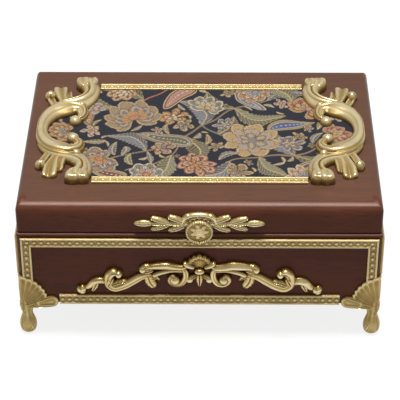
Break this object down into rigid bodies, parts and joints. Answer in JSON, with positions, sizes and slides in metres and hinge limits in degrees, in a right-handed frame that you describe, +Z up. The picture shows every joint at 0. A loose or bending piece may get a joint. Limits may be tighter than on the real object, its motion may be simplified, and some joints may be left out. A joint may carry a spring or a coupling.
{
  "type": "flatware chest",
  "caption": "Footed wooden flatware chest with a hinged lid, cloth top panel, gilt scroll mounts, bead trim, lift medallion and notched racks inside.",
  "frame": {"origin": "on the table under the middle of the box", "axes": "+X to the right of someone facing the front, -Y out of the front face, +Z up"},
  "size_m": [0.3892, 0.2838, 0.1817],
  "materials": {
    "wood": "satin lacquered, dark mahogany stain",
    "brass": "antiqued cast and stamped brass",
    "gilt": "gilt casting with darker recesses",
    "steel": "plain turned steel",
    "lining": "brown brushed lining cloth",
    "rack": "wooden rack covered with brown brushed cloth",
    "tapestry": "woven floral cloth on a dark ground, stretched over card"
  },
  "bodies": {
    "base": {"base_front_board": "wood", "base_back_board": "wood", "base_left_board": "wood", "base_right_board": "wood", "base_floor_board": "wood", "wall_lining": "lining", "floor_lining": "lining", "front_rack": "rack", "back_rack": "rack", "foot_front_left": "brass", "foot_front_right": "brass", "foot_back_right": "brass", "foot_back_left": "brass", "foot_screw_front_left": "steel", "foot_screw_front_right": "steel", "foot_screw_back_right": "steel", "foot_screw_back_left": "steel", "front_trim_top": "brass", "front_trim_bottom": "brass", "front_trim_left": "brass", "front_trim_right": "brass", "left_trim_top": "brass", "left_trim_bottom": "brass", "left_trim_back": "brass", "left_trim_front": "brass", "right_trim_top": "brass", "right_trim_bottom": "brass", "right_trim_front": "brass", "right_trim_back": "brass", "front_scroll_mount": "gilt", "hinge_base_leaf_left": "brass", "hinge_base_leaf_right": "brass", "hinge_pin_left": "steel", "hinge_pin_right": "steel", "hinge_base_screw_left_a": "steel", "hinge_base_screw_left_b": "steel", "hinge_base_screw_right_a": "steel", "hinge_base_screw_right_b": "steel"},
    "lid": {"lid_top_board": "wood", "lid_front_rail": "wood", "lid_back_rail": "wood", "lid_left_rail": "wood", "lid_right_rail": "wood", "lid_wall_lining": "lining", "lid_pad": "lining", "tapestry_panel": "tapestry", "top_trim_front": "gilt", "top_trim_back": "gilt", "c_scroll_left": "gilt", "c_scroll_right": "gilt", "clasp_spray": "brass", "clasp_medallion": "brass", "hinge_lid_leaf_left": "brass", "hinge_lid_leaf_right": "brass", "hinge_lid_screw_left_a": "steel", "hinge_lid_screw_left_b": "steel", "hinge_lid_screw_right_a": "steel", "hinge_lid_screw_right_b": "steel"}
  },
  "joints": [
    {"name": "lid_hinge", "type": "hinge", "parent": "base", "child": "lid", "pos_m": [0, 0.1373, 0.13425], "axis": [-1, 0, 0], "range_deg": [0, 100]}
  ]
}
